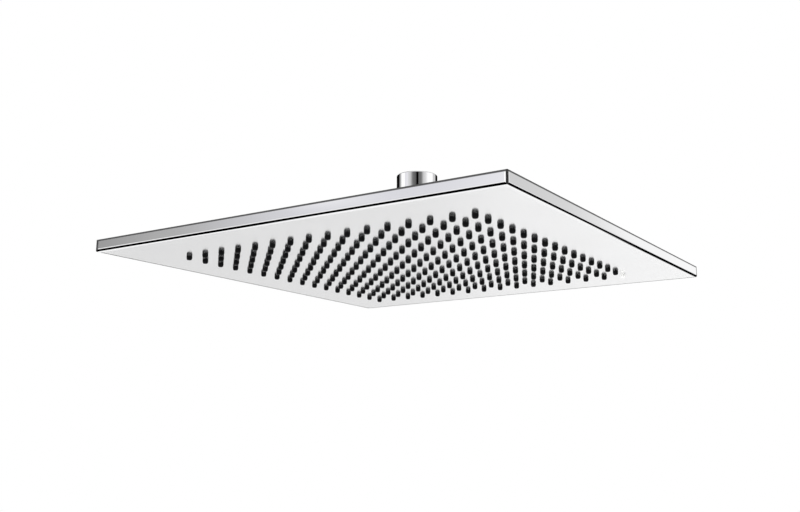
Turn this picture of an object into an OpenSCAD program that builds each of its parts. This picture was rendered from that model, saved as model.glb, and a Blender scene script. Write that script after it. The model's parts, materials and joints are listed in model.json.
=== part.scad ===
// Square rain shower head: a flat chrome spray plate with a grid of soft nozzles, hung from a
// ball joint that ends in a round threaded inlet.
// Origin: centre of the inlet's mouth. +Z points up the thread axis, and the spray plate faces down.

/* [Spray plate] */
// Side of the square plate
plate_w = 300; // [280:5:500]
// Thickness of the stainless sheet of the face and the cover
sheet_t = 1; // [0.7:0.1:1.5]
// Outer radius of the bend between face and rim
bend_r = 1.9; // [0.5:0.1:1.9]
// Outer radius of the plate's four upright corners
corner_r = 2; // [0.5:0.1:3]
// Radius of the polished edges at the top of the rim and of the cover
lip_r = 0.6; // [0.1:0.1:0.6]
// Gap all round between the rim and the cover
cover_gap = 0.1; // [0.05:0.05:0.5]

/* [Nozzles] */
// Nozzles along one side of the square field
nozzle_rows = 16; // [12:1:18]
// Distance from nozzle to nozzle
nozzle_pitch = 14.4; // [10:0.1:16]
// Diameter of a nozzle where it leaves the face
nozzle_base_d = 3.6; // [3.2:0.1:4.4]
// Largest diameter of a nozzle, just below the face, which keeps it from slipping back
nozzle_bulge_d = 4; // [3.4:0.1:5]
// Diameter of a nozzle at its tip
nozzle_tip_d = 3.2; // [2:0.1:3.4]
// How far a nozzle stands out of the face
nozzle_drop = 2.7; // [2:0.1:5]
// Gap round a nozzle in its hole in the face
nozzle_gap = 0.1; // [0.05:0.05:0.3]
// Diameter of the water jet's hole at the tip
jet_d = 1; // [0.5:0.1:1.6]
// Diameter of the funnel that leads to it, at the top of the mat
funnel_d = 2.6; // [2:0.1:3.2]
// Thickness of the silicone mat behind the face
mat_t = 1; // [0.6:0.1:2]
// Width of bare mat outside the outer row of nozzles
mat_margin = 10; // [7:0.5:14]
// Diameter of the plug's flange behind the face
plug_flange_d = 6.4; // [5.6:0.1:9]

/* [Water chamber] */
// Height of the water space between the mat and the plate that closes the chamber
water_gap = 2.4; // [1.6:0.1:4]
// Thickness of the moulded plate that closes the chamber
plate_t = 2.6; // [2:0.1:4]
// Width of the square sealing ring
seal_w = 3; // [2:0.1:5]
// Gap between the mat and the sealing ring
seal_gap = 0.4; // [0.2:0.1:2]
// Width of the plate's border outside the seal, which carries the outer screws
border_w = 7.6; // [6.8:0.1:12]
// Diameter of the threaded posts welded to the face
post_d = 5.5; // [4.5:0.1:6.5]
// Thickness of the closed end of a post
post_floor_t = 1; // [0.5:0.1:1.4]
// Outer posts along one side of the square
posts_per_side = 6; // [3:1:10]
// Cells from the centre line to the farther of the inner posts
post_far_cells = 5; // [4:1:5]
// Cells from the centre line to the nearer of the inner posts
post_near_cells = 2; // [2:1:3]
// Outer diameter of the screws' thread
screw_d = 3; // [2.5:0.1:3.5]
// Width of the screws' countersunk head outside the thread
screw_head_rim = 1.3; // [0.8:0.1:1.6]
// Diameter of the round pips that hold the mat down
pip_d = 3; // [2:0.1:4]
// Thickness of the sealing washers on the inner posts
post_seal_t = 0.5; // [0.3:0.1:1]

/* [Hub] */
// Wall of the hub round the ball joint's seat
hub_wall = 2; // [1.5:0.1:4]
// Width of the hub's flange outside its thread
flange_rim = 5; // [3:0.5:8]
// Thickness of the hub's flange
flange_t = 1.2; // [0.8:0.1:1.6]
// Diameter of the water way through the hub
hub_bore_d = 15; // [10:0.5:17]
// Thickness of the gasket between flange and chamber plate
hub_gasket_t = 0.8; // [0.5:0.1:1.2]
// Depth of the pocket in the chamber plate that takes the gasket
pocket_depth = 1; // [0.6:0.1:1.4]
// Slots in the flange through which the water spreads
slot_count = 8; // [4:1:12]
// Width of those slots
slot_w = 4; // [2:0.5:5]
// Width of the lock nut outside the thread, at its flats
locknut_rim = 4; // [3:0.5:8]
// Thickness of the lock nut
locknut_t = 4; // [2.5:0.5:8]
// Thickness of the washer under the lock nut
hub_washer_t = 0.8; // [0.5:0.1:2]

/* [Ball joint] */
// Diameter of the ball
ball_d = 24; // [22:0.5:30]
// Diameter of the neck above the ball
neck_d = 14; // [12:0.5:15]
// Diameter of the water way through the neck and the ball
stem_bore_d = 10; // [6:0.5:10]
// Running gap between the ball, its rings and their seats
ball_gap = 0.1; // [0.05:0.01:0.2]
// Thickness of the spherical liner above the ball
liner_t = 1.2; // [0.8:0.1:2]
// Largest tilt of the plate about each of its two tilt axes
tilt_max = 10; // [4:1:12]
// Wall of the ball nut outside the hub's thread
nut_wall = 3; // [2.5:0.1:5]
// Length of thread that holds the ball nut
nut_grip = 8; // [6:0.5:14]
// Height of the ball nut's straight side above the ball's centre
nut_shoulder = 2; // [0:0.5:4]
// Width of the flat land round the ball nut's opening
lip_land = 2.3; // [1.5:0.1:3]
// Grip flutes round the ball nut
flute_count = 16; // [6:1:24]
// Radius of a grip flute
flute_r = 2; // [1:0.1:2.5]
// Thickness of the seat under the ball, below its contact
seat_t = 2; // [1.5:0.1:3]
// Thickness of the O-ring under the seat
seat_ring_t = 1.8; // [1.2:0.1:2.2]

/* [Inlet] */
// Diameter of the round inlet socket
socket_d = 28.6; // [27:0.2:40]
// Bore of the half-inch pipe thread, at its crests
thread_bore_d = 18.631; // [18:0.001:19]
// Length of the thread
thread_len = 12; // [9:0.5:16]
// Diameter of the groove behind the thread that holds the filter washer
relief_d = 21.4; // [20.4:0.1:23]
// Length of stem that is screwed into the socket
stem_grip = 4.8; // [4:0.1:12]
// Depth of each spanner flat on the socket
flat_depth = 1.1; // [0.5:0.1:2]
// Height of the spanner flats
flats_h = 7; // [5:0.5:9]
// Small chamfer round the socket's top edge
mouth_chamfer = 0.4; // [0.2:0.1:1.5]
// Thickness of the filter washer
filter_washer_t = 2; // [1.2:0.1:3]
// Diameter of the filter disc
filter_d = 13; // [12:0.1:15]
// Thickness of the filter disc
filter_t = 0.4; // [0.2:0.1:0.8]
// Diameter of the holes in the filter disc
filter_hole_d = 0.9; // [0.5:0.1:1.1]
// Thickness of the flow regulator
regulator_t = 2.5; // [2:0.1:5]
// Thickness of the O-ring round the flow regulator
regulator_ring_t = 1; // [0.6:0.1:1.4]
// Thickness of the washer between stem and socket
stem_washer_t = 0.8; // [0.5:0.1:1.5]
// Width of the stem's hexagonal collar outside the neck, at its flats
collar_rim = 1.5; // [1:0.1:3]
// Height of the stem's collar
collar_h = 2.8; // [2:0.1:8]

/* [Hidden] */
$fn = 64;
// A little more than nothing, so that a cut passes right through a face
cut = 1;
// Play round pieces that drop into a hole of their own size
play = 0.05;
// Room that a piece keeps from its neighbour on assembly
loose = 0.2;
// Room over what tilts, before it meets what stands still
tilt_room = 0.7;
// Room between the ball nut and the stem's collar at full tilt
collar_room = 1.7;
// Clear gap between two nuts on one thread, and of thread left over a nut
nut_gap = 0.7;
thread_over = 0.5;
// Width of the washer outside its lock nut, and of the step that the filter disc rests on
washer_rim = 1;
filter_seat_w = 1;
// Room between a pip and the nearest post's clearance hole
pip_room = 0.5;
// How far down a nozzle its largest diameter lies, as a share of its length
bulge_share = 0.35;
// Depth of the small screws' thread
screw_thread_depth = 0.25;
// Flat land round the water way at the bottom of the ball
ball_land = 1.3;
// Slope of the chamfers on hexagons
chamfer_angle = 20;

chrome = [0.84, 0.85, 0.87];
brass = [0.78, 0.66, 0.35];
steel = [0.68, 0.69, 0.7];
black = [0.09, 0.09, 0.1];
acetal = [0.93, 0.93, 0.9];
moulded = [0.86, 0.87, 0.88];

// Radii and angles of the ball joint, whose parts are all centred on the ball
ball_r = ball_d / 2;
neck_r = neck_d / 2;
full_tilt = acos(cos(tilt_max) * cos(tilt_max));
liner_in_r = ball_r + ball_gap;
liner_out_r = liner_in_r + liner_t;
cup_r = liner_out_r + ball_gap;
lip_clear_angle = 4;
lip_angle = asin(neck_r / cup_r) + full_tilt + lip_clear_angle;
lip_opening_r = cup_r * sin(lip_angle);
liner_angle = asin(neck_r / liner_in_r) + tilt_max + 1.5 * lip_clear_angle;
flat_r = stem_bore_d / 2 + ball_land;
seat_angle = asin(flat_r / ball_r) + full_tilt;
seat_hole_r = liner_in_r * sin(seat_angle);
seat_r = cup_r + 2 * loose;
recess_r = seat_r + loose;
seat_ring_r = (seat_hole_r + seat_r) / 2;
seat_groove_w = seat_ring_t + 3 * loose;

// Heights in the ball joint, measured from the ball's centre
nut_top = cup_r * cos(lip_angle) + 1.5 * loose;
nut_step = liner_out_r * sin(tilt_max) + tilt_room;
hub_rise = nut_step + thread_over;
nut_low = hub_rise + nut_grip;
liner_low = 0.5;
liner_high = liner_in_r * cos(liner_angle);
seat_top = -hub_rise - 1.5 * loose;
seat_low = -liner_in_r * cos(seat_angle) - seat_t;
ball_flat = sqrt(ball_r * ball_r - flat_r * flat_r);
collar_rise = nut_top * cos(full_tilt) + (lip_opening_r + lip_land) * sin(full_tilt) + collar_room;

// Diameters of what is screwed together round the ball joint
hub_d = 2 * (recess_r + hub_wall);
nut_thread_r = hub_d / 2 + play;
ball_nut_d = hub_d + 2 * nut_wall;
flange_d = hub_d + 2 * flange_rim;
locknut_af = hub_d + 2 * locknut_rim;
hub_washer_d = locknut_af + 2 * washer_rim;
collar_af = neck_d + 2 * collar_rim;

// Lengths along the inlet, and the heights that add up to the whole
relief_len = filter_washer_t + thread_over;
regulator_room = regulator_t + loose;
socket_len = thread_len + relief_len + regulator_room + stem_grip;
rim_h = 2 * sheet_t + mat_t + water_gap + plate_t;
ball_rise = hub_washer_t + locknut_t + nut_gap + nut_low;
total_h = rim_h + ball_rise + collar_rise + collar_h + stem_washer_t + socket_len;

// Heights of the spray plate's layers, from the face up
face_z = -total_h;
mat_z = face_z + sheet_t;
mat_top_z = mat_z + mat_t;
plate_z = mat_top_z + water_gap;
plate_top_z = plate_z + plate_t;
cover_top_z = plate_top_z + sheet_t;
post_h = plate_z - mat_z;

// Half sides of the nested squares
field_half = (nozzle_rows - 1) / 2 * nozzle_pitch;
mat_half = field_half + mat_margin;
seal_half = mat_half + seal_gap + seal_w;
chamber_half = seal_half + border_w;
wall_half = plate_w / 2 - sheet_t;
cover_half = wall_half - cover_gap;

// Half a cell with an odd number of rows, whose nozzles stand on the centre lines
cell_shift = (nozzle_rows % 2) / 2;

// Posts: the outer ones sit in the border, the inner ones in the middle of four nozzles
outer_post = seal_half + border_w / 2;
outer_step = 2 * outer_post / (posts_per_side - 1);
post_far = (post_far_cells - cell_shift) * nozzle_pitch;
post_near = (post_near_cells - cell_shift) * nozzle_pitch;
outer_posts = [
    for (i = [0 : posts_per_side - 1], j = [0 : posts_per_side - 1])
        if (i == 0 || j == 0 || i == posts_per_side - 1 || j == posts_per_side - 1)
            [i * outer_step - outer_post, j * outer_step - outer_post]
];
inner_posts = [
    for (sx = [-1, 1], sy = [-1, 1], p = [[post_far, post_far], [post_far, post_near], [post_near, post_far]])
        [sx * p[0], sy * p[1]]
];
post_clear_d = post_d + 3 * loose;
screw_core_d = screw_d - 2 * screw_thread_depth;
screw_head_d = screw_d + 2 * screw_head_rim;
screw_tip_z = mat_z + post_floor_t;
screw_head_t = screw_head_rim + loose;

// Nozzle places: every crossing of the grid but the last corner, which the plug closes
nozzle_places = [
    for (i = [0 : nozzle_rows - 1], j = [0 : nozzle_rows - 1])
        if (i + j < 2 * nozzle_rows - 2) [grid_at(i), grid_at(j)]
];
plug_place = [field_half, field_half];
nozzle_z = face_z - nozzle_drop;
nozzle_bulge_z = face_z - bulge_share * nozzle_drop;
hole_d = nozzle_base_d + 2 * nozzle_gap;

// Pips: between the nozzles, every second cell, clear of the hub and the posts
pip_count = floor((nozzle_rows - 2) / 2);
pip_places = [
    for (i = [0 : pip_count - 1], j = [0 : pip_count - 1])
        let (p = [pip_at(i), pip_at(j)])
            if (norm(p) > flange_d / 2 + pip_d && clear_of_posts(p)) p
];

// Heights of the hub, which hangs by its flange under the chamber plate
pocket_d = flange_d + 3 * loose;
pocket_z = plate_z + pocket_depth;
flange_top_z = pocket_z - hub_gasket_t;
hub_z = flange_top_z - flange_t;
hub_hole_d = hub_d + 2 * loose;
slot_depth = 0.6 * flange_t;

// Heights of the joint above the cover
locknut_z = cover_top_z + hub_washer_t;
ball_z = cover_top_z + ball_rise;
hub_top_z = ball_z - hub_rise;
recess_z = ball_z + seat_low - ball_gap;

// Inlet: socket, stem and what the socket holds
socket_z = -socket_len;
relief_z = -(thread_len + relief_len);
collar_top_z = socket_z - stem_washer_t;
collar_z = collar_top_z - collar_h;
stem_top_z = relief_z - regulator_room;
regulator_r = neck_r - play;
regulator_holes = 6;
regulator_hole_d = 1.6;
regulator_mid_z = stem_top_z + regulator_t / 2;
filter_step = 1.3;
filter_rings = 3;
filter_washer_bore_d = filter_d - 2 * filter_seat_w;

function grid_at(i) = (i - (nozzle_rows - 1) / 2) * nozzle_pitch;
// Outer side of a nozzle, from the mat's top down to the tip
function nozzle_side() = [
    [nozzle_base_d / 2, mat_top_z], [nozzle_base_d / 2, face_z],
    [nozzle_bulge_d / 2, nozzle_bulge_z], [nozzle_tip_d / 2, nozzle_z]
];
function pip_at(i) = ((i - (pip_count - 1) / 2) * 2 + cell_shift) * nozzle_pitch;
function clear_of_posts(p) =
    min([for (q = inner_posts) norm(p - q)]) > (post_clear_d + pip_d) / 2 + pip_room;
// Width across the corners of a hexagon from its width across the flats
function corners_d(flats) = flats / cos(30);

// A rod of radius r from height z0 up to z1
module rod(r, z0, z1) {
    translate([0, 0, z0]) cylinder(r = r, h = z1 - z0);
}

// A ring between two radii and two heights
module ring(r_out, r_in, z0, z1) {
    difference() {
        rod(r_out, z0, z1);
        rod(r_in, z0 - cut, z1 + cut);
    }
}

// A hexagonal prism
module hexagon(flats, z0, z1) {
    translate([0, 0, z0]) cylinder(d = corners_d(flats), h = z1 - z0, $fn = 6);
}

// A turned hexagon: its corners are chamfered at both ends, down to a circle across the flats
module turned_hexagon(flats, z0, z1) {
    fall = (corners_d(flats) - flats) / 2 * tan(chamfer_angle);
    intersection() {
        hexagon(flats, z0, z1);
        rotate_extrude() polygon([
            [0, z0], [flats / 2, z0], [corners_d(flats) / 2, z0 + fall],
            [corners_d(flats) / 2, z1 - fall], [flats / 2, z1], [0, z1]
        ]);
    }
}

// A ball cut off between two heights measured from its centre
module ball_slice(r, low, high) {
    intersection() {
        translate([0, 0, ball_z]) sphere(r = r);
        rod(r + cut, ball_z + low, ball_z + high);
    }
}

// An O-ring of thickness t whose middle lies at radius r and height z
module o_ring(r, t, z) {
    translate([0, 0, z]) rotate_extrude() translate([r, 0]) circle(d = t);
}

// A square slab, centred, from height z0 up to z1
module slab(half, z0, z1) {
    translate([-half, -half, z0]) cube([2 * half, 2 * half, z1 - z0]);
}

// A square with rounded corners
module round_square(half, r) {
    square([2 * half, 2 * (half - r)], center = true);
    square([2 * (half - r), 2 * half], center = true);
    for (x = [-1, 1], y = [-1, 1]) translate([x * (half - r), y * (half - r)]) circle(r = r);
}

// The upright section of a pan: rounded at the bottom by low_r and at the top by high_r
module pan_section(half, h, low_r, high_r) {
    translate([-half, low_r]) square([2 * half, h - low_r - high_r]);
    translate([low_r - half, 0]) square([2 * (half - low_r), h / 2]);
    translate([high_r - half, h / 2]) square([2 * (half - high_r), h / 2]);
    for (x = [-1, 1]) {
        translate([x * (half - low_r), low_r]) circle(r = low_r);
        translate([x * (half - high_r), h - high_r]) circle(r = high_r);
    }
}

// One section run along Y, or along X when turned
module run_section(half, h, low_r, high_r) {
    translate([0, half, 0]) rotate([90, 0, 0]) linear_extrude(2 * half) pan_section(half, h, low_r, high_r);
}

// A square block with rounded edges below, above and at its corners
module soft_block(half, z0, h, low_r, high_r, upright_r) {
    translate([0, 0, z0]) intersection() {
        run_section(half, h, low_r, high_r);
        rotate([0, 0, 90]) run_section(half, h, low_r, high_r);
        linear_extrude(h) round_square(half, upright_r);
    }
}

module face_tray() {
    color(chrome) difference() {
        soft_block(plate_w / 2, face_z, rim_h, bend_r, lip_r, corner_r);
        slab(wall_half, mat_z, cover_top_z + cut);
        for (p = concat(nozzle_places, [plug_place]))
            translate(p) rod(hole_d / 2, face_z - cut, mat_z + cut);
    }
}

module back_cover() {
    color(chrome) difference() {
        soft_block(cover_half, mat_z, rim_h - sheet_t, lip_r, lip_r, lip_r);
        slab(cover_half - sheet_t, mat_z - cut, plate_top_z);
        rod(hub_hole_d / 2, plate_top_z - cut, cover_top_z + cut);
    }
}

// One nozzle with the patch of mat round it, open from the funnel to the jet
module nozzle() {
    rotate_extrude() polygon(concat(
        [[funnel_d / 2, mat_top_z]], nozzle_side(),
        [[jet_d / 2, nozzle_z], [jet_d / 2, nozzle_z + nozzle_drop / 2]]
    ));
}

module nozzle_mat() {
    color(black) {
        translate([0, 0, mat_z]) linear_extrude(mat_t) difference() {
            square(2 * mat_half, center = true);
            for (p = nozzle_places) translate(p) circle(d = nozzle_base_d);
            for (p = inner_posts) translate(p) circle(d = post_clear_d);
            translate(plug_place) circle(d = plug_flange_d + 2 * play);
        }
        for (p = nozzle_places) translate(p) nozzle();
    }
}

// The pale plug: shaped as a nozzle outside, but closed, with a flange that rests behind the face
module corner_plug() {
    color(acetal) translate(plug_place) {
        rod(plug_flange_d / 2, mat_z, mat_top_z);
        rotate_extrude() polygon(concat(nozzle_side(), [[0, nozzle_z], [0, mat_top_z]]));
    }
}

module chamber_plate() {
    color(moulded) difference() {
        union() {
            slab(chamber_half, plate_z, plate_top_z);
            for (p = concat(pip_places, [plug_place])) translate(p) rod(pip_d / 2, mat_top_z, plate_z + cut);
        }
        rod(hub_hole_d / 2, plate_z - cut, plate_top_z + cut);
        rod(pocket_d / 2, plate_z - cut, pocket_z);
        for (p = concat(outer_posts, inner_posts)) translate(p) screw_hole();
    }
}

// Clearance hole with a countersink that fits the screw's head
module screw_hole() {
    rod(screw_d / 2 + play, plate_z - cut, plate_top_z + cut);
    translate([0, 0, plate_top_z - screw_head_t])
        cylinder(d1 = screw_d + 2 * play, d2 = screw_head_d + 2 * play, h = screw_head_t + play);
}

module plate_screws() {
    color(steel) for (p = concat(outer_posts, inner_posts)) translate(p) difference() {
        union() {
            rod(screw_core_d / 2, screw_tip_z, plate_top_z);
            rod(screw_d / 2, plate_z, plate_top_z - screw_head_t / 2);
            translate([0, 0, plate_top_z - screw_head_t])
                cylinder(d1 = screw_d, d2 = screw_head_d, h = screw_head_t);
        }
        hexagon(screw_d / 2, plate_top_z - screw_head_t, plate_top_z + cut);
    }
}

// A threaded post: a short tube that is closed where it is welded to the face
module post(h) {
    difference() {
        rod(post_d / 2, mat_z, mat_z + h);
        rod(screw_core_d / 2, screw_tip_z - play, mat_z + h + cut);
    }
}

module plate_posts() {
    color(steel) {
        for (p = outer_posts) translate(p) post(post_h);
        for (p = inner_posts) translate(p) post(post_h - post_seal_t);
    }
}

module post_seals() {
    color(black) for (p = inner_posts)
        translate(p) ring(post_d / 2, screw_d / 2 + play, plate_z - post_seal_t, plate_z);
}

module chamber_seal() {
    color(black) difference() {
        slab(seal_half, mat_z, plate_z);
        slab(seal_half - seal_w, mat_z - cut, plate_z + cut);
    }
}

module hub() {
    color(brass) difference() {
        union() {
            rod(flange_d / 2, hub_z, flange_top_z);
            rod(hub_d / 2, hub_z, hub_top_z);
        }
        rod(hub_bore_d / 2, hub_z - cut, hub_top_z);
        rod(recess_r, recess_z, hub_top_z + cut);
        ring(seat_ring_r + seat_groove_w / 2, seat_ring_r - seat_groove_w / 2,
             recess_z - seat_ring_t, recess_z + cut);
        for (k = [0 : slot_count - 1]) rotate([0, 0, k * 360 / slot_count])
            translate([0, -slot_w / 2, hub_z - cut]) cube([flange_d, slot_w, slot_depth + cut]);
    }
}

module hub_gasket() {
    color(black) ring(flange_d / 2, hub_d / 2 + play, flange_top_z, pocket_z);
}

module hub_washer() {
    color(steel) ring(hub_washer_d / 2, hub_d / 2 + play, cover_top_z, locknut_z);
}

module hub_lock_nut() {
    color(chrome) difference() {
        turned_hexagon(locknut_af, locknut_z, locknut_z + locknut_t);
        rod(hub_d / 2 + play, locknut_z - cut, locknut_z + locknut_t + cut);
    }
}

// The ball nut's solid outline, turned round its axis
module nut_outline() {
    translate([0, 0, ball_z]) rotate_extrude() polygon([
        [0, -nut_low], [ball_nut_d / 2, -nut_low], [ball_nut_d / 2, nut_shoulder],
        [lip_opening_r + lip_land, nut_top], [0, nut_top]
    ]);
}

module ball_nut() {
    color(chrome) difference() {
        nut_outline();
        rod(nut_thread_r, ball_z - nut_low - cut, ball_z - nut_step);
        rod(cup_r, ball_z - nut_step - cut, ball_z);
        ball_slice(cup_r, -cut, nut_top);
        rod(lip_opening_r, ball_z, ball_z + nut_top + cut);
        for (k = [0 : flute_count - 1]) rotate([0, 0, k * 360 / flute_count])
            translate([ball_nut_d / 2 + flute_r / 2, 0, 0]) rod(flute_r, ball_z - nut_low - cut, ball_z);
    }
}

module upper_liner() {
    color(acetal) difference() {
        ball_slice(liner_out_r, liner_low, liner_high);
        translate([0, 0, ball_z]) sphere(r = liner_in_r);
    }
}

module lower_seat() {
    color(acetal) difference() {
        rod(seat_r, ball_z + seat_low, ball_z + seat_top);
        translate([0, 0, ball_z]) sphere(r = liner_in_r);
        rod(seat_hole_r, ball_z + seat_low - cut, ball_z);
    }
}

module seat_ring() {
    color(black) o_ring(seat_ring_r, seat_ring_t, recess_z - seat_ring_t / 2);
}

module ball_stem() {
    color(brass) difference() {
        union() {
            ball_slice(ball_r, -ball_flat, ball_r);
            rod(neck_r, ball_z, stem_top_z);
            turned_hexagon(collar_af, collar_z, collar_top_z);
        }
        rod(stem_bore_d / 2, ball_z - ball_r, stem_top_z + cut);
    }
}

module stem_washer() {
    color(black) ring(collar_af / 2, neck_r + play, collar_top_z, socket_z);
}

module inlet_socket() {
    color(chrome) difference() {
        intersection() {
            union() {
                rod(socket_d / 2, socket_z, -mouth_chamfer);
                translate([0, 0, -mouth_chamfer])
                    cylinder(r1 = socket_d / 2, r2 = socket_d / 2 - mouth_chamfer, h = mouth_chamfer);
            }
            union() {
                rod(socket_d, socket_z + flats_h, cut);
                translate([flat_depth - socket_d / 2, -socket_d, socket_z - cut])
                    cube([socket_d - 2 * flat_depth, 2 * socket_d, flats_h + 2 * cut]);
            }
        }
        rod(thread_bore_d / 2, -thread_len - cut, cut);
        rod(relief_d / 2, relief_z, -thread_len);
        rod(neck_r + play, socket_z - cut, relief_z + cut);
    }
}

module flow_regulator() {
    color(acetal) difference() {
        rod(regulator_r, stem_top_z, stem_top_z + regulator_t);
        for (k = [0 : regulator_holes - 1]) rotate([0, 0, k * 360 / regulator_holes])
            translate([regulator_r / 2, 0, 0]) rod(regulator_hole_d / 2, stem_top_z - cut, relief_z);
        ring(regulator_r + cut, regulator_r - regulator_ring_t,
             regulator_mid_z - 0.6 * regulator_ring_t, regulator_mid_z + 0.6 * regulator_ring_t);
    }
}

module regulator_ring() {
    color(black) o_ring(regulator_r - regulator_ring_t / 2, regulator_ring_t, regulator_mid_z);
}

module filter_washer() {
    color(black) difference() {
        ring(relief_d / 2 - play, filter_washer_bore_d / 2, relief_z, relief_z + filter_washer_t);
        rod(filter_d / 2 + play, relief_z + filter_washer_t - filter_t, relief_z + filter_washer_t + cut);
    }
}

module filter_disc() {
    color(steel) translate([0, 0, relief_z + filter_washer_t - filter_t]) linear_extrude(filter_t) difference() {
        circle(d = filter_d);
        circle(d = filter_hole_d);
        for (n = [1 : filter_rings], k = [0 : 6 * n - 1]) rotate(k * 60 / n)
            translate([n * filter_step, 0]) circle(d = filter_hole_d);
    }
}

inlet_socket();
ball_stem();
stem_washer();
flow_regulator();
regulator_ring();
filter_washer();
filter_disc();
upper_liner();
lower_seat();
seat_ring();
ball_nut();
hub();
hub_gasket();
hub_washer();
hub_lock_nut();
back_cover();
chamber_plate();
chamber_seal();
plate_screws();
plate_posts();
post_seals();
nozzle_mat();
corner_plug();
face_tray();
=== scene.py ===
# Square rain shower head on a ball joint, seen from below on plain white.
# Everything is in metres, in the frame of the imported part: +Z up, origin in the middle of the inlet's mouth.
import json
import math

import bmesh
import bpy
from mathutils import Matrix, Vector


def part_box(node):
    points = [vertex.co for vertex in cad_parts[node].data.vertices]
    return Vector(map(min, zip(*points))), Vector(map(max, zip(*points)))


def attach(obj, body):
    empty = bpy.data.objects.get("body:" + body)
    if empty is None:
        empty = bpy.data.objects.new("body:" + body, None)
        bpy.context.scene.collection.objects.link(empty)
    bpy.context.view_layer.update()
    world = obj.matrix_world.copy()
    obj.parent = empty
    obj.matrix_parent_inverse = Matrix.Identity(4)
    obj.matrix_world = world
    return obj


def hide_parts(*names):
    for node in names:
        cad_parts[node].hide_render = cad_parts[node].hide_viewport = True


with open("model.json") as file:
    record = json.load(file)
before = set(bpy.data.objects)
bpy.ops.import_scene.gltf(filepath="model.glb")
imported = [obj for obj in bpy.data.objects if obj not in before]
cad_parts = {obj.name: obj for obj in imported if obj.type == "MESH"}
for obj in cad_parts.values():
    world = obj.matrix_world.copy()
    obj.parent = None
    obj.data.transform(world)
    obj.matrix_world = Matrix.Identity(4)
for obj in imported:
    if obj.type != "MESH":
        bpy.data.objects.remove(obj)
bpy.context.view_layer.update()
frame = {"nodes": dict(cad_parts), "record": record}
nodes = frame["nodes"]
print("frame loaded:", len(nodes), "nodes")

mm = 0.001
trayLow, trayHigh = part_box("face_tray")
faceZ, rimZ, plateSide = trayLow.z, trayHigh.z, trayHigh.x


# Shader helpers
class Value:
    # wraps a shader socket, so that an expression on values adds its Math nodes
    def __init__(self, nodeSet, socket):
        self.nodeSet, self.socket = nodeSet, socket

    def math(self, operation, first, second=None):
        values = {0: first} if second is None else {0: first, 1: second}
        return self.nodeSet.add("ShaderNodeMath", {"operation": operation}, values)

    def __add__(self, other):
        return self.math("ADD", self, other)

    def __radd__(self, other):
        return self.math("ADD", other, self)

    def __sub__(self, other):
        return self.math("SUBTRACT", self, other)

    def __rsub__(self, other):
        return self.math("SUBTRACT", other, self)

    def __mul__(self, other):
        return self.math("MULTIPLY", self, other)

    def __rmul__(self, other):
        return self.math("MULTIPLY", other, self)

    def __truediv__(self, other):
        return self.math("DIVIDE", self, other)


class NodeSet:
    def __init__(self, tree):
        self.tree = tree

    # one node: its type, its settings (a ramp's stops among them), and the values or links of its sockets
    def add(self, kind, settings=None, values=None, out=0):
        node = self.tree.nodes.new(kind)
        for name, setting in (settings or {}).items():
            if name == "stops":
                elements = node.color_ramp.elements
                while len(elements) < len(setting):
                    elements.new(1.0)
                for element, (position, color) in zip(elements, setting):
                    element.position, element.color = position, color
            elif name == "interpolation":
                node.color_ramp.interpolation = setting
            else:
                setattr(node, name, setting)
        for name, value in (values or {}).items():
            if isinstance(value, Value):
                self.join(value, node.inputs[name])
            else:
                node.inputs[name].default_value = value
        return Value(self, node.outputs[out])

    def join(self, value, socket):
        self.tree.links.new(value.socket, socket)

    def smooth(self, value, low, high, fromValue=0.0, toValue=1.0):
        return self.add("ShaderNodeMapRange", {"interpolation_type": "SMOOTHSTEP"}, {
            "Value": value, "From Min": low, "From Max": high, "To Min": fromValue, "To Max": toValue})

    def mix(self, factor, first, second):
        # the numbers are the Mix node's sockets for colours, whose names are shared with its other kinds
        return self.add("ShaderNodeMix", {"data_type": "RGBA"}, {0: factor, 6: first, 7: second}, out=2)


def linear(level):
    share = level / 255
    return share / 12.92 if share <= 0.04045 else ((share + 0.055) / 1.055) ** 2.4


def grey(level, cool=0):
    # a screen grey from 0 to 255 as a linear colour, with a little more blue if it is cool
    return linear(level), linear(level), linear(level + cool), 1.0


# Materials: base colour, metallic, roughness and how far it wanders, size of the patches it wanders in,
# bump height and grain size; brushed stretches the grain along X, and pressed adds what the plate's sheet has,
# its painted dark lines among it
finishes = {
    "polishedSheet": dict(color=(0.945, 0.945, 0.95), metal=1.0, rough=0.06, wander=0.02, patch=0.05,
                          bump=0.0, grain=0.002, pressed=True),
    "satinSheet": dict(color=(0.90, 0.90, 0.91), metal=1.0, rough=0.34, wander=0.06, patch=0.06,
                       bump=0.000003, grain=0.0007, brushed=60),
    "chromePlate": dict(color=(0.955, 0.955, 0.965), metal=1.0, rough=0.05, wander=0.02, patch=0.01,
                        bump=0.0, grain=0.002),
    "blackSilicone": dict(color=(0.005, 0.005, 0.0055), metal=0.0, rough=0.45, wander=0.1, patch=0.004,
                          bump=0.00002, grain=0.0003),
    "blackRubber": dict(color=(0.018, 0.018, 0.018), metal=0.0, rough=0.7, wander=0.1, patch=0.004,
                        bump=0.00003, grain=0.0004),
    "whiteAcetal": dict(color=(0.94, 0.94, 0.925), metal=0.0, rough=0.35, wander=0.08, patch=0.006,
                        bump=0.00001, grain=0.0006),
    "paleMoulded": dict(color=(0.66, 0.67, 0.68), metal=0.0, rough=0.45, wander=0.08, patch=0.02,
                        bump=0.00003, grain=0.0008),
    "turnedSteel": dict(color=(0.66, 0.66, 0.67), metal=1.0, rough=0.28, wander=0.08, patch=0.004,
                        bump=0.000004, grain=0.0004),
}

# How every finish wanders: tones between darker and lighter, and the noise behind them
wandering = dict(
    darker=0.985,
    lighter=1.01,
    toneFrom=0.25,
    toneTo=0.75,
    detail=2.0,
    patchContrast=0.4,
    grainContrast=0.5,
    brushing=0.5,      # how much of the wander the brushed grain adds
)

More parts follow.
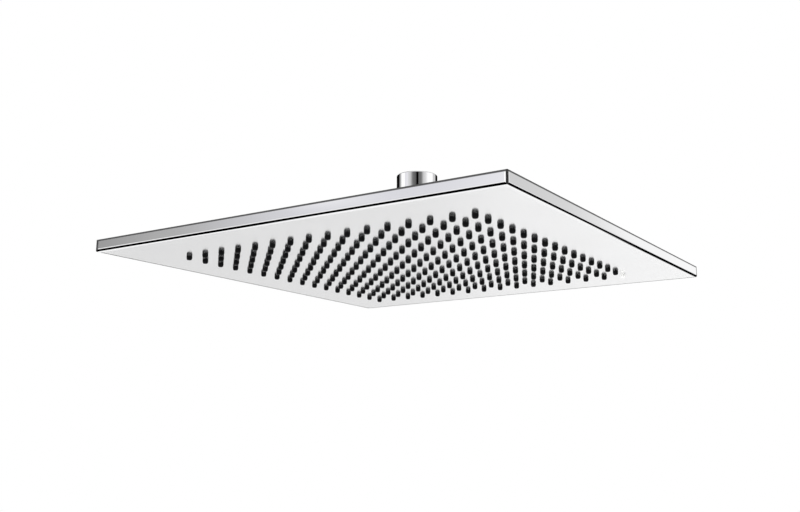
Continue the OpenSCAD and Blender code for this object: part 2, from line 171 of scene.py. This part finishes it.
# The plate's polished sheet
sheet = dict(
    faceRough=0.14,         # the flat face is a little less smooth than its rims
    faceHaze=0.05,          # share of light that it scatters
    faceFrom=0.02 * mm,     # heights over the face between which it passes into the bend
    faceTo=0.15 * mm,
    bendRadius=1.9 * mm,
    leanFrom=1.8 * mm,      # how far from its bend the face begins to lean outwards, and where it leans fully
    leanTo=1.0 * mm,
    lean=0.12,
    cornerRadius=2 * mm,    # of the plate's upright corners
    edgeHeight=1.35 * mm,   # height of the rougher top edge of the rims, which also gets a dark line of painted shade
    edgeShare=0.17,         # share of the colour kept there; the darkening is painted shade
    edgeRough=0.3,
    seamWidth=1.3 * mm,     # how far the rougher finish and the dark line of painted shade reach on either side of the two corners on the x = y diagonal
    fadeFrom=0.8,           # share of the edge's height and the corner line's width where it begins to fade
)


def leaningNormal(nodeSet, place, flat):
    # the face leans outwards a little before its bend begins, as pressed sheet does
    bendStart = plateSide - sheet["bendRadius"]
    begin, end = bendStart - sheet["leanFrom"], bendStart - sheet["leanTo"]
    tilts = []
    for axis in ("X", "Y"):
        along = nodeSet.add("ShaderNodeSeparateXYZ", None, {0: place}, out=axis)
        tilt = nodeSet.smooth(along.math("ABSOLUTE", along), begin, end, 0.0, sheet["lean"])
        tilts.append(tilt * flat * along.math("SIGN", along))
    outward = nodeSet.add("ShaderNodeCombineXYZ", None, {0: tilts[0], 1: tilts[1]})
    turning = {"vector_type": "VECTOR", "convert_from": "OBJECT", "convert_to": "WORLD"}
    outward = nodeSet.add("ShaderNodeVectorTransform", turning, {0: outward})
    plain = nodeSet.add("ShaderNodeNewGeometry", out="Normal")
    leaning = nodeSet.add("ShaderNodeVectorMath", {"operation": "ADD"}, {0: plain, 1: outward})
    return nodeSet.add("ShaderNodeVectorMath", {"operation": "NORMALIZE"}, {0: leaning})


def pressSheet(nodeSet, place, finish, rough, shade):
    # the sheet's metallic, normal, roughness and colour, on its face, its bends and its top edges, with dark
    # lines of painted shade along the top of the rims and at two corners
    height = nodeSet.add("ShaderNodeSeparateXYZ", None, {0: place}, out="Z")
    flat = nodeSet.smooth(height - faceZ, sheet["faceFrom"], sheet["faceTo"], 1.0, 0.0)
    rough = rough + (sheet["faceRough"] - finish["rough"]) * flat
    edge, width = sheet["edgeHeight"], sheet["seamWidth"]
    # a dark line of painted shade along the top of the rims
    rimTopPaintedLine = nodeSet.smooth(rimZ - height, sheet["fadeFrom"] * edge, edge, 1.0, 0.0)
    # the two upright corners where both coordinates add up to the most, whose bends get a dark line of painted
    # shade
    across = nodeSet.add("ShaderNodeVectorMath", {"operation": "DOT_PRODUCT"}, {0: place, 1: (1, 1, 0)},
                         out="Value")
    toCorner = 2 * plateSide - across.math("ABSOLUTE", across)
    corner = sheet["cornerRadius"]
    # painted shade: a dark upright line on the bend at each of these two corners
    cornerPaintedLine = nodeSet.smooth(toCorner, corner + sheet["fadeFrom"] * width, corner + width, 1.0, 0.0) * (1 - flat)
    # the rim tops and the corner lines are rougher, and darker in colour as painted shade
    rougherAndPaintedDark = rimTopPaintedLine.math("MAXIMUM", rimTopPaintedLine, cornerPaintedLine)
    rough = rough + (sheet["edgeRough"] - finish["rough"]) * rougherAndPaintedDark
    shade = nodeSet.mix(rougherAndPaintedDark, shade, (*(Vector(finish["color"]) * sheet["edgeShare"]), 1.0))
    return 1 - flat * sheet["faceHaze"], leaningNormal(nodeSet, place, flat), rough, shade


def makeMaterial(name, finish):
    material = bpy.data.materials.new(name)
    material.use_nodes = True
    shader = material.node_tree.nodes["Principled BSDF"]
    nodeSet = NodeSet(material.node_tree)
    place = nodeSet.add("ShaderNodeTexCoord", out="Object")
    patches = nodeSet.add("ShaderNodeTexNoise", None, {
        "Vector": place, "Scale": 1 / finish["patch"],
        "Detail": wandering["detail"], "Roughness": wandering["patchContrast"]})
    stretch = (1 / finish.get("brushed", 1), 1.0, 1.0)
    grainPlace = nodeSet.add("ShaderNodeMapping", None, {"Vector": place, "Scale": stretch})
    fine = nodeSet.add("ShaderNodeTexNoise", None, {
        "Vector": grainPlace, "Scale": 1 / finish["grain"],
        "Detail": wandering["detail"], "Roughness": wandering["grainContrast"]})
    tone = nodeSet.smooth(patches, wandering["toneFrom"], wandering["toneTo"])
    rough = finish["rough"] + finish["wander"] * (tone - 0.5)
    base = Vector(finish["color"])
    shade = nodeSet.mix(tone, (*(base * wandering["darker"]), 1.0), (*(base * wandering["lighter"]), 1.0))
    shader.inputs["Metallic"].default_value = finish["metal"]
    if "pressed" in finish:
        metal, normal, rough, shade = pressSheet(nodeSet, place, finish, rough, shade)
        nodeSet.join(metal, shader.inputs["Metallic"])
        nodeSet.join(normal, shader.inputs["Normal"])
    if "brushed" in finish:
        rough = rough + wandering["brushing"] * finish["wander"] * (fine - 0.5)
    nodeSet.join(rough, shader.inputs["Roughness"])
    nodeSet.join(shade, shader.inputs["Base Color"])
    if finish["bump"]:
        bump = {"Height": fine, "Strength": 1.0, "Distance": finish["bump"]}
        normal = nodeSet.add("ShaderNodeBump", None, bump)
        nodeSet.join(normal, shader.inputs["Normal"])
    return material


materials = {name: makeMaterial(name, finish) for name, finish in finishes.items()}
siliconeShine = 0.08
silicone = materials["blackSilicone"].node_tree.nodes["Principled BSDF"]
silicone.inputs["Specular IOR Level"].default_value = siliconeShine
slotFinish = {
    "polished_chrome": "chromePlate", "chromed_brass": "chromePlate", "black_silicone": "blackSilicone",
    "black_rubber": "blackRubber", "white_acetal": "whiteAcetal", "grey_abs": "paleMoulded",
    "stainless": "turnedSteel",
}
nodeFinish = {"face_tray": "polishedSheet", "back_cover": "satinSheet"}
for part in frame["record"]["subparts"]:
    name = nodeFinish.get(part["node"], slotFinish[part["material_slot"]])
    mesh = nodes[part["node"]].data
    mesh.materials.clear()
    mesh.materials.append(materials[name])
print("materials made:", len(materials))

# Mesh helpers
holdFlat = 0.1 * mm     # how far from a rounding a long face gets the ring that keeps its shading flat


def addPiece(name, mesh, material, body, slot, *replaced):
    piece = bpy.data.objects.new(name, mesh)
    bpy.context.scene.collection.objects.link(piece)
    mesh.materials.clear()
    mesh.materials.append(materials[material])
    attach(piece, body)
    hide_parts(*replaced)
    return piece


def ringVerts(builder, ring, segments):
    # a ring is (radius, height), and its radius may be a function of the angle
    radius, height = ring
    verts = []
    for k in range(segments):
        angle = 2 * math.pi * k / segments
        reach = radius(angle) if callable(radius) else radius
        verts.append(builder.verts.new((reach * math.cos(angle), reach * math.sin(angle), height)))
    return verts


def turned(rings, segments, smoothAngle, closed=True, capped=False):
    # a lathe: the rings follow the section round, and faces join each to the next
    builder = bmesh.new()
    made = [ringVerts(builder, ring, segments) for ring in rings]
    pairs = list(zip(made, made[1:] + made[:1])) if closed else list(zip(made, made[1:]))
    for lower, upper in pairs:
        for k in range(segments):
            after = (k + 1) % segments
            builder.faces.new((lower[k], lower[after], upper[after], upper[k]))
    if capped:
        for ring in (made[0], made[-1]):
            builder.faces.new(ring)
    bmesh.ops.recalc_face_normals(builder, faces=builder.faces)
    return asMesh(builder, smoothAngle)


def asMesh(builder, smoothAngle=32, name="mesh"):
    mesh = bpy.data.meshes.new(name)
    builder.to_mesh(mesh)
    builder.free()
    mesh.shade_smooth()
    mesh.set_sharp_from_angle(angle=math.radians(smoothAngle))
    return mesh


def rounded(corner, before, after, radius, steps):
    # a corner of a section, given with the points on either side of it, as an arc of the given radius, with a
    # point of the straight run on each side that keeps the shading of the long faces flat
    corner, before, after = Vector(corner), Vector(before), Vector(after)
    toBefore, toAfter = (before - corner).normalized(), (after - corner).normalized()
    half = toBefore.angle(toAfter) / 2
    centre = corner + (toBefore + toAfter).normalized() * (radius / math.sin(half))
    start, end = corner + toBefore * (radius / math.tan(half)), corner + toAfter * (radius / math.tan(half))
    points = [tuple(start + toBefore * holdFlat)]
    for k in range(steps + 1):
        chord = start.lerp(end, k / steps) - centre
        points.append(tuple(centre + chord.normalized() * radius))
    return points + [tuple(end + toAfter * holdFlat)]


# Silicone mat and its nozzles
mat = dict(
    rows=16,
    margin=10 * mm,       # bare mat outside the outer nozzles
    thick=1 * mm,
    segments=12,          # sides of a nozzle, of the plug and of the larger holes
    plugSegments=48,
    holeSegments=24,
    smoothAngle=50,
    weld=0.01 * mm,       # distance at which nozzles and mat join
    baseRadius=1.8 * mm,
    funnelRadius=1.3 * mm,
    jetRadius=0.5 * mm,
    jetStart=0.5,         # share of the drop where the funnel ends
    plugHole=3.25 * mm,   # hole round the flange of the corner plug
    postHole=3.05 * mm,
    postCells=((5, 5), (5, 2), (2, 5)),   # places of the inner posts, in cells from the middle
    # the nozzle's outline from the face down: share of its drop, share of its base radius
    shape=((0.0, 1.0), (0.3, 1.11), (0.5, 1.05), (0.74, 0.98), (0.9, 0.88), (1.0, 0.7)),
)
matLow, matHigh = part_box("nozzle_mat")
matHalf = matHigh.x
fieldHalf = matHalf - mat["margin"]
pitch = 2 * fieldHalf / (mat["rows"] - 1)
matZ = matHigh.z - mat["thick"]
drop = faceZ - matLow.z


def nozzleSide():
    # the rings of a nozzle's outer side, from the tip up to the mat
    base = mat["baseRadius"]
    side = [(share * base, faceZ - depth * drop) for depth, share in reversed(mat["shape"])]
    return side + [(base, matZ)]


def makeNozzle():
    jet, jetTop = mat["jetRadius"], faceZ - mat["jetStart"] * drop
    rings = [(mat["baseRadius"], matHigh.z), (mat["funnelRadius"], matHigh.z), (jet, jetTop), (jet, matLow.z)]
    return turned(rings + nozzleSide(), mat["segments"], mat["smoothAngle"], closed=False)


def makePlug():
    # the closed corner plug: a nozzle outside, with a flange in the mat
    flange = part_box("corner_plug")[1].x - fieldHalf
    rings = nozzleSide() + [(flange, matZ), (flange, matHigh.z)]
    mesh = turned(rings, mat["plugSegments"], mat["smoothAngle"], closed=False, capped=True)
    mesh.transform(Matrix.Translation((fieldHalf, fieldHalf, 0)))
    return mesh


def circlePoints(x, y, radius, segments):
    angles = [2 * math.pi * k / segments for k in range(segments)]
    return [(x + radius * math.cos(angle), y + radius * math.sin(angle)) for angle in angles]


def makeMatSheet():
    # the flat mat: top and bottom filled round their holes, and walls where a hole is open
    holes = []
    around = mat["holeSegments"]
    for i in range(mat["rows"]):
        for j in range(mat["rows"]):
            x, y = i * pitch - fieldHalf, j * pitch - fieldHalf
            if i + j == 2 * mat["rows"] - 2:
                holes.append((circlePoints(x, y, mat["plugHole"], around), True))
            else:
                holes.append((circlePoints(x, y, mat["baseRadius"], mat["segments"]), False))
    for across, along in mat["postCells"]:
        for sx in (-1, 1):
            for sy in (-1, 1):
                x, y = sx * across * pitch, sy * along * pitch
                holes.append((circlePoints(x, y, mat["postHole"], around), True))
    corner = [(-matHalf, -matHalf), (matHalf, -matHalf), (matHalf, matHalf), (-matHalf, matHalf)]
    builder = bmesh.new()
    loops = {}
    for height in (matZ, matHigh.z):
        edges = []
        for number, (points, walled) in enumerate(holes + [(corner, True)]):
            verts = [builder.verts.new((x, y, height)) for x, y in points]
            edges += [builder.edges.new((a, b)) for a, b in zip(verts, verts[1:] + verts[:1])]
            if walled:
                loops.setdefault(number, []).append(verts)
        bmesh.ops.triangle_fill(builder, edges=edges, use_beauty=True)
    for low, high in loops.values():
        for k in range(len(low)):
            after = (k + 1) % len(low)
            builder.faces.new((low[k], low[after], high[after], high[k]))
    mesh = bpy.data.meshes.new("matSheet")
    builder.to_mesh(mesh)
    builder.free()
    return mesh


def nozzleFieldTree():
    tree = bpy.data.node_groups.new("nozzleField", "GeometryNodeTree")
    face = tree.interface
    face.new_socket("Geometry", in_out="INPUT", socket_type="NodeSocketGeometry")
    face.new_socket("Nozzle", in_out="INPUT", socket_type="NodeSocketObject")
    face.new_socket("Rows", in_out="INPUT", socket_type="NodeSocketInt")
    face.new_socket("Pitch", in_out="INPUT", socket_type="NodeSocketFloat")
    face.new_socket("Silicone", in_out="INPUT", socket_type="NodeSocketMaterial")
    face.new_socket("Geometry", in_out="OUTPUT", socket_type="NodeSocketGeometry")
    nodeSet = NodeSet(tree)
    given = tree.nodes.new("NodeGroupInput")
    rows, step = Value(nodeSet, given.outputs["Rows"]), Value(nodeSet, given.outputs["Pitch"])
    width = (rows - 1) * step
    grid = nodeSet.add("GeometryNodeMeshGrid", None,
                       {"Size X": width, "Size Y": width, "Vertices X": rows, "Vertices Y": rows})
    index = nodeSet.add("GeometryNodeInputIndex")
    last = nodeSet.add("FunctionNodeCompare", {"data_type": "INT", "operation": "EQUAL"},
                       {2: index, 3: rows * rows - 1})
    places = nodeSet.add("GeometryNodeDeleteGeometry", {"domain": "POINT"},
                         {"Geometry": grid, "Selection": last})
    nozzle = nodeSet.add("GeometryNodeObjectInfo", None, {"Object": Value(nodeSet, given.outputs["Nozzle"])},
                         out="Geometry")
    copies = nodeSet.add("GeometryNodeInstanceOnPoints", None, {"Points": places, "Instance": nozzle})
    both = tree.nodes.new("GeometryNodeJoinGeometry")
    tree.links.new(given.outputs["Geometry"], both.inputs[0])
    nodeSet.join(nodeSet.add("GeometryNodeRealizeInstances", None, {"Geometry": copies}), both.inputs[0])
    welded = nodeSet.add("GeometryNodeMergeByDistance", None,
                         {"Geometry": Value(nodeSet, both.outputs[0]), "Distance": mat["weld"]})
    painted = nodeSet.add("GeometryNodeSetMaterial", None,
                          {"Geometry": welded, "Material": Value(nodeSet, given.outputs["Silicone"])})
    result = tree.nodes.new("NodeGroupOutput")
    nodeSet.join(painted, result.inputs[0])
    return tree


def applied(source, tree, inputs):
    # the modifier's result as a plain mesh
    modifier = source.modifiers.new("repeat", "NODES")
    modifier.node_group = tree
    for item in tree.interface.items_tree:
        if item.item_type == "SOCKET" and item.in_out == "INPUT" and item.name in inputs:
            modifier[item.identifier] = inputs[item.name]
    source.update_tag()
    depsgraph = bpy.context.evaluated_depsgraph_get()
    mesh = bpy.data.meshes.new_from_object(source.evaluated_get(depsgraph))
    source.modifiers.clear()
    return mesh


nozzle = bpy.data.objects.new("oneNozzle", makeNozzle())
flatMat = bpy.data.objects.new("flatMat", makeMatSheet())
for helper in (nozzle, flatMat):
    bpy.context.scene.collection.objects.link(helper)
matMesh = applied(flatMat, nozzleFieldTree(), {
    "Nozzle": nozzle, "Rows": mat["rows"], "Pitch": pitch, "Silicone": materials["blackSilicone"]})
for helper in (nozzle, flatMat):
    bpy.data.objects.remove(helper)
builder = bmesh.new()
builder.from_mesh(matMesh)
bmesh.ops.recalc_face_normals(builder, faces=builder.faces)
matMesh = asMesh(builder, mat["smoothAngle"], "nozzleMat")
addPiece("nozzleMat", matMesh, "blackSilicone", "head", "black_silicone", "nozzle_mat")
addPiece("palePlug", makePlug(), "whiteAcetal", "head", "white_acetal", "corner_plug")
print("nozzle mat and plug made:", len(matMesh.polygons), "faces in the mat")

# Inlet socket, with the turns of its half-inch pipe thread
socket = dict(
    flatDepth=1.1 * mm,    # of each spanner flat
    flatHeight=7 * mm,
    minorRadius=9.3155 * mm,
    majorRadius=10.4775 * mm,
    pitch=1.814 * mm,
    threadLength=12 * mm,
    reliefRadius=10.7 * mm,
    reliefLength=2.5 * mm,
    boreRadius=7.05 * mm,
    mouthRound=0.6 * mm,
    edge=0.25 * mm,        # small chamfers elsewhere
    shelf=0.025 * mm,      # slope of the shelves over the flats
    roundSteps=5,
    rowsPerTurn=14,
    segments=96,
    smoothAngle=50,
)


def makeSocket():
    low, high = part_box("inlet_socket")
    outer, bottom = high.y, low.z
    edge, minor, major = socket["edge"], socket["minorRadius"], socket["majorRadius"]
    threadEnd = -socket["threadLength"]
    reliefEnd = threadEnd - socket["reliefLength"]
    flatTop = bottom + socket["flatHeight"]

    def withFlats(inset):
        # round, but cut off at both flats; the small number keeps clear of a division by nought
        across = outer - socket["flatDepth"] - inset
        return lambda angle: min(outer - inset, across / max(abs(math.cos(angle)), 0.01))

    def flatsRoof(angle):
        # the shelf over a flat, which runs out into the round side between the flats
        return max(withFlats(0)(angle), outer - edge)

    def thread(height):
        # the turns rise out of the bore's root, and fade out at both ends
        fade = min(1.0, (-edge - height) / socket["pitch"], (height - threadEnd) / socket["pitch"])
        depth = (major - minor) * max(fade, 0.0)
        wave = 2 * math.pi * height / socket["pitch"]
        return lambda angle: major - depth * (0.5 + 0.5 * math.cos(wave - angle))

    flats = withFlats(0)
    rings = [(withFlats(edge), bottom), (flats, bottom + edge), (flats, bottom + edge + holdFlat),
             (flats, flatTop), (flatsRoof, flatTop + socket["shelf"]), (outer, flatTop + edge),
             (outer, flatTop + edge + holdFlat)]
    rings += rounded((outer, 0), (outer, -1), (0, 0), socket["mouthRound"], socket["roundSteps"])
    rings += [(major + edge, 0.0), (major, -edge)]
    rows = int(socket["threadLength"] / socket["pitch"] * socket["rowsPerTurn"])
    for k in range(1, rows):
        height = -edge + (threadEnd + edge) * k / rows
        rings.append((thread(height), height))
    rings += [(major, threadEnd), (socket["reliefRadius"], threadEnd), (socket["reliefRadius"], reliefEnd),
              (socket["boreRadius"], reliefEnd), (socket["boreRadius"], bottom + edge),
              (socket["boreRadius"] + edge, bottom)]
    return turned(rings, socket["segments"], socket["smoothAngle"])


socketMesh = makeSocket()
addPiece("threadedInlet", socketMesh, "chromePlate", "inlet", "polished_chrome", "inlet_socket")
print("inlet socket made:", len(socketMesh.polygons), "faces")

# Ball nut, with its grip flutes and softened edges
nut = dict(
    ballZ=frame["record"]["behaviour"]["joints"][0]["pos_m"][2],
    shoulder=2 * mm,       # height of the straight side over the ball's centre
    openingRadius=10.204 * mm,
    land=2.3 * mm,
    cupRadius=13.4 * mm,
    threadRadius=16.05 * mm,
    step=3.01 * mm,        # depth of the step under the ball's centre
    flutes=16,
    fluteRadius=2 * mm,
    fluteRun=1.2 * mm,     # how the flutes run out at their top
    runSteps=5,
    shoulderRound=1.2 * mm,
    brimRound=0.8 * mm,
    edge=0.35 * mm,
    cupSteps=8,
    segments=256,
    smoothAngle=40,
)


def makeBallNut():
    low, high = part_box("ball_nut")
    outer = max(high.x, high.y)
    centre, bottom, top, shoulder = nut["ballZ"], low.z, high.z, nut["ballZ"] + nut["shoulder"]
    edge, cup, opening = nut["edge"], nut["cupRadius"], nut["openingRadius"]
    thread, cupSteps = nut["threadRadius"], nut["cupSteps"]

    def fluted(reach, share):
        # the side's radius where the flutes have the given share of their depth
        def radius(angle):
            step = 2 * math.pi / nut["flutes"]
            off = abs((angle + step / 2) % step - step / 2)
            away = outer + nut["fluteRadius"] / 2 + (1 - share) * nut["fluteRadius"] / 2
            inside = nut["fluteRadius"] ** 2 - (away * math.sin(off)) ** 2
            return min(reach, away * math.cos(off) - math.sqrt(inside)) if inside > 0 else reach
        return radius

    rings = [(fluted(outer - edge, 1), bottom), (fluted(outer, 1), bottom + edge),
             (fluted(outer, 1), bottom + edge + holdFlat), (fluted(outer, 1), centre - nut["fluteRun"])]
    for k in range(1, nut["runSteps"] + 1):
        share = k / nut["runSteps"]
        rings.append((fluted(outer, math.sqrt(1 - share ** 2)), centre - nut["fluteRun"] * (1 - share)))
    rings += [(outer, centre + edge)]
    brim = (opening + nut["land"], top)
    rings += rounded((outer, shoulder), (outer, centre), brim, nut["shoulderRound"], steps=5)
    rings += rounded(brim, (outer, shoulder), (opening, top), nut["brimRound"], steps=4)
    rings += rounded((opening, top), brim, (opening, centre), edge, steps=3)
    mouth = math.sqrt(cup ** 2 - opening ** 2)
    start = math.atan2(mouth, opening)
    for k in range(cupSteps + 1):
        angle = start * (1 - k / cupSteps)
        rings.append((cup * math.cos(angle), centre + cup * math.sin(angle)))
    rings += [(cup, centre - nut["step"]), (thread, centre - nut["step"]), (thread, bottom + edge),
              (thread + edge, bottom)]
    return turned(rings, nut["segments"], nut["smoothAngle"])


nutMesh = makeBallNut()
addPiece("flutedNut", nutMesh, "chromePlate", "head", "polished_chrome", "ball_nut")
print("ball nut made:", len(nutMesh.polygons), "faces")

# Camera
view = dict(
    place=(0.35576, -0.54497, -0.18872),
    forward=(-0.524941, 0.827805, 0.197927),
    lens=43.114,          # in mm, as the sensor's width is
    sensor=36,
    shift=-0.0366,        # the photograph is cut from a wider one
    near=0.01,
    far=100,
)
camera = bpy.data.cameras.new("camera")
camera.sensor_width = view["sensor"]
camera.lens = view["lens"]
camera.shift_x = view["shift"]
camera.clip_start = view["near"]
camera.clip_end = view["far"]
cameraObject = bpy.data.objects.new("camera", camera)
bpy.context.scene.collection.objects.link(cameraObject)
turn = Vector(view["forward"]).to_track_quat("-Z", "Y")
cameraObject.matrix_world = Matrix.Translation(view["place"]) @ turn.to_matrix().to_4x4()
bpy.context.scene.camera = cameraObject

# Floor, lamps and cards
stage = dict(
    front=(0.561, -0.828),
    floorZ=-0.85,
    floorRadius=6.0,
    floorGrey=235,
    floorRough=0.8,
    floorFade=(0.25, 0.95),   # shares of its radius between which the floor fades out
    floorSides=96,
    # soft lamps: place, size, power
    lamps=dict(softbox=((-0.8, -1.0, 3.0), 3.0, 260), fill=((0.7, -1.1, -0.6), 1.0, 6)),
    lampsAim=(0, 0, -0.03),
    brightness=1.07,      # makes up for what the metal swallows
    # cards round the plate's near corner, which only the corner mirrors: angles round it and grey
    cardsPlace=(0.15, -0.15),
    cardsAway=0.2,
    cardsHeight=(-0.014, 0.008),
    cards=((-58, -14, 255), (-14, 63, 40), (63, 90, 203)),
    cardSteps=8,
)


def makeFloor():
    builder = bmesh.new()
    bmesh.ops.create_circle(builder, cap_ends=True, radius=stage["floorRadius"], segments=stage["floorSides"])
    bmesh.ops.translate(builder, vec=(0, 0, stage["floorZ"]), verts=builder.verts)
    floor = bpy.data.objects.new("floor", asMesh(builder, name="floor"))
    bpy.context.scene.collection.objects.link(floor)
    material = bpy.data.materials.new("paleFloor")
    material.use_nodes = True
    nodeSet = NodeSet(material.node_tree)
    shader = material.node_tree.nodes["Principled BSDF"]
    shader.inputs["Base Color"].default_value = grey(stage["floorGrey"])
    shader.inputs["Roughness"].default_value = stage["floorRough"]
    place = nodeSet.add("ShaderNodeTexCoord", out="Object")
    away = nodeSet.add("ShaderNodeVectorMath", {"operation": "LENGTH"}, {0: place}, out="Value")
    begin, end = (share * stage["floorRadius"] for share in stage["floorFade"])
    nodeSet.join(nodeSet.smooth(away, begin, end, 1.0, 0.0), shader.inputs["Alpha"])
    floor.data.materials.append(material)
    floor.visible_glossy = False


def addLamp(name, place, size, power):
    lamp = bpy.data.lights.new(name, "AREA")
    lamp.size, lamp.energy = size, power
    lampObject = bpy.data.objects.new(name, lamp)
    bpy.context.scene.collection.objects.link(lampObject)
    lampObject.location = place
    aim = Vector(stage["lampsAim"]) - Vector(place)
    lampObject.rotation_euler = aim.to_track_quat("-Z", "Y").to_euler()
    lampObject.visible_glossy = False
    lampObject.visible_camera = False


def onStage(angle):
    # the level direction at an angle round the object, 0 to the front and plus to the right
    front = Vector((*stage["front"], 0)).normalized()
    right = Vector((-front.y, front.x, 0))
    return front * math.cos(math.radians(angle)) + right * math.sin(math.radians(angle))


def addCard(number, begin, end, level):
    builder = bmesh.new()
    low, high = stage["cardsHeight"]
    columns = []
    for k in range(stage["cardSteps"] + 1):
        angle = begin + (end - begin) * k / stage["cardSteps"]
        spot = Vector((*stage["cardsPlace"], 0)) + onStage(angle) * stage["cardsAway"]
        columns.append([builder.verts.new((spot.x, spot.y, height)) for height in (low, high)])
    for (a, b), (c, d) in zip(columns, columns[1:]):
        builder.faces.new((a, c, d, b))
    card = bpy.data.objects.new("card" + str(number), asMesh(builder, name="card"))
    bpy.context.scene.collection.objects.link(card)
    material = bpy.data.materials.new("card" + str(number))
    material.use_nodes = True
    shader = material.node_tree.nodes["Principled BSDF"]
    shader.inputs["Base Color"].default_value = grey(0)
    shader.inputs["Emission Color"].default_value = grey(level)
    shader.inputs["Emission Strength"].default_value = stage["brightness"]
    card.data.materials.append(material)
    card.visible_camera = card.visible_diffuse = card.visible_shadow = False


makeFloor()
for number, card in enumerate(stage["cards"]):
    addCard(number, *card)
for name, lamp in stage["lamps"].items():
    addLamp(name, *lamp)

# What the polished surfaces mirror: panels of light and dark round the object, in bands of height from the
# ground up. A height is the sine of the elevation; a band fades in from begin to full. Angles are degrees
# round the object, 0 towards the front of the stage and plus to its right, and a panel is its angle, its grey
# and how much bluer it is.
bands = (
    dict(begin=-1.0, full=-1.0, panels=((-180, 245), (180, 245))),
    # steeply below: a dark panel on the left, for the line along the bend under the plate's long rim
    dict(begin=-0.96, full=-0.92, panels=(
        (-180, 250), (-119, 250), (-112, 0), (-54, 0), (-44, 225), (100, 225), (150, 245), (180, 250))),
    # behind, with dark panels left, in front and right
    dict(begin=-0.80, full=-0.74, panels=(
        (-180, 235), (-158, 250), (-137, 250), (-129, 0), (-54, 0), (-44, 232), (-17, 236), (-11, 0), (58, 0),
        (68, 236), (100, 236), (107, 0), (133, 0), (140, 250), (160, 247), (180, 235))),
    dict(begin=-0.44, full=-0.38, panels=(
        (-180, 222), (-170, 218), (-164, 216), (-158, 250), (-137, 250), (-129, 0), (-54, 0), (-44, 232),
        (-17, 236), (-11, 0), (58, 0), (68, 236), (100, 236), (107, 0), (147, 0), (154, 250), (160, 243),
        (172, 235), (180, 222))),
    # what the face mirrors, without the dark panel on the left
    dict(begin=-0.21, full=-0.15, panels=(
        (-180, 222), (-170, 218), (-164, 216), (-158, 250), (-17, 240), (-11, 0), (58, 0), (68, 236),
        (100, 236), (107, 0), (147, 0), (154, 250), (160, 243), (172, 235), (180, 222))),
    # a light strip at the horizon, dark behind
    dict(begin=-0.07, full=-0.03, panels=(
        (-180, 20), (-152, 20), (-142, 245), (-17, 255), (-11, 0), (58, 0), (68, 255), (138, 245), (148, 20),
        (180, 20))),
    # what the plate's rims mirror
    dict(begin=0.03, full=0.10, panels=(
        (-180, 0), (-91, 0), (-87, 151), (-82, 171), (-78, 194, 3), (-74, 212, 5), (-68, 213, 5),
        (-62, 230, 4), (-17, 236), (-11, 0), (58, 0), (68, 203), (112, 205), (119, 204), (122, 214),
        (126, 243), (133, 250), (143, 20), (180, 0))),
    # what the round inlet mirrors
    dict(begin=0.242, full=0.256, panels=(
        (-180, 0), (-126, 5), (-104, 190), (-98, 255), (-77, 255), (-68, 215, 5), (-61, 229, 4), (-44, 205),
        (-22, 108), (-8, 90), (-3, 0), (5, 0), (9, 104), (20, 112), (40, 206), (68, 255), (92, 255),
        (108, 195), (119, 204), (123, 214), (128, 0), (180, 0))),
    # the room above, which the back mirrors
    dict(begin=0.30, full=0.37, panels=(
        (-180, 150), (-150, 155), (-90, 175), (-40, 205), (60, 215), (110, 190), (150, 160), (180, 150))),
    dict(begin=0.52, full=0.60, panels=(
        (-180, 155), (-72, 165), (-50, 195), (0, 215), (90, 200), (150, 175), (180, 155))),
    dict(begin=0.89, full=0.93, panels=((-180, 235), (180, 235))),
)


def makeSurroundings():
    world = bpy.data.worlds.new("surroundings")
    bpy.context.scene.world = world
    world.use_nodes = True
    world.node_tree.nodes.clear()
    nodeSet = NodeSet(world.node_tree)
    direction = nodeSet.add("ShaderNodeTexCoord", out="Generated")
    along = {"operation": "DOT_PRODUCT"}
    toFront = nodeSet.add("ShaderNodeVectorMath", along, {0: direction, 1: onStage(0)}, out="Value")
    toRight = nodeSet.add("ShaderNodeVectorMath", along, {0: direction, 1: onStage(90)}, out="Value")
    height = nodeSet.add("ShaderNodeSeparateXYZ", None, {0: direction}, out="Z")
    angle = toRight.math("ARCTAN2", toRight, toFront) / (2 * math.pi) + 0.5
    color = None
    for band in bands:
        stops = [(place / 360 + 0.5, grey(*level)) for place, *level in band["panels"]]
        panels = nodeSet.add("ShaderNodeValToRGB", {"interpolation": "EASE", "stops": stops}, {0: angle})
        rise = nodeSet.smooth(height, band["begin"], band["full"]) if color else None
        color = nodeSet.mix(rise, color, panels) if color else panels
    room = nodeSet.add("ShaderNodeBackground", None, {0: color, 1: stage["brightness"]})
    plain = nodeSet.add("ShaderNodeBackground", None, {0: (1, 1, 1, 1)})
    seen = nodeSet.add("ShaderNodeLightPath", out="Is Camera Ray")
    shown = nodeSet.add("ShaderNodeMixShader", None, {0: seen, 1: room, 2: plain})
    result = world.node_tree.nodes.new("ShaderNodeOutputWorld")
    nodeSet.join(shown, result.inputs[0])


makeSurroundings()
bpy.context.scene.view_settings.view_transform = "Standard"
print("stage set")
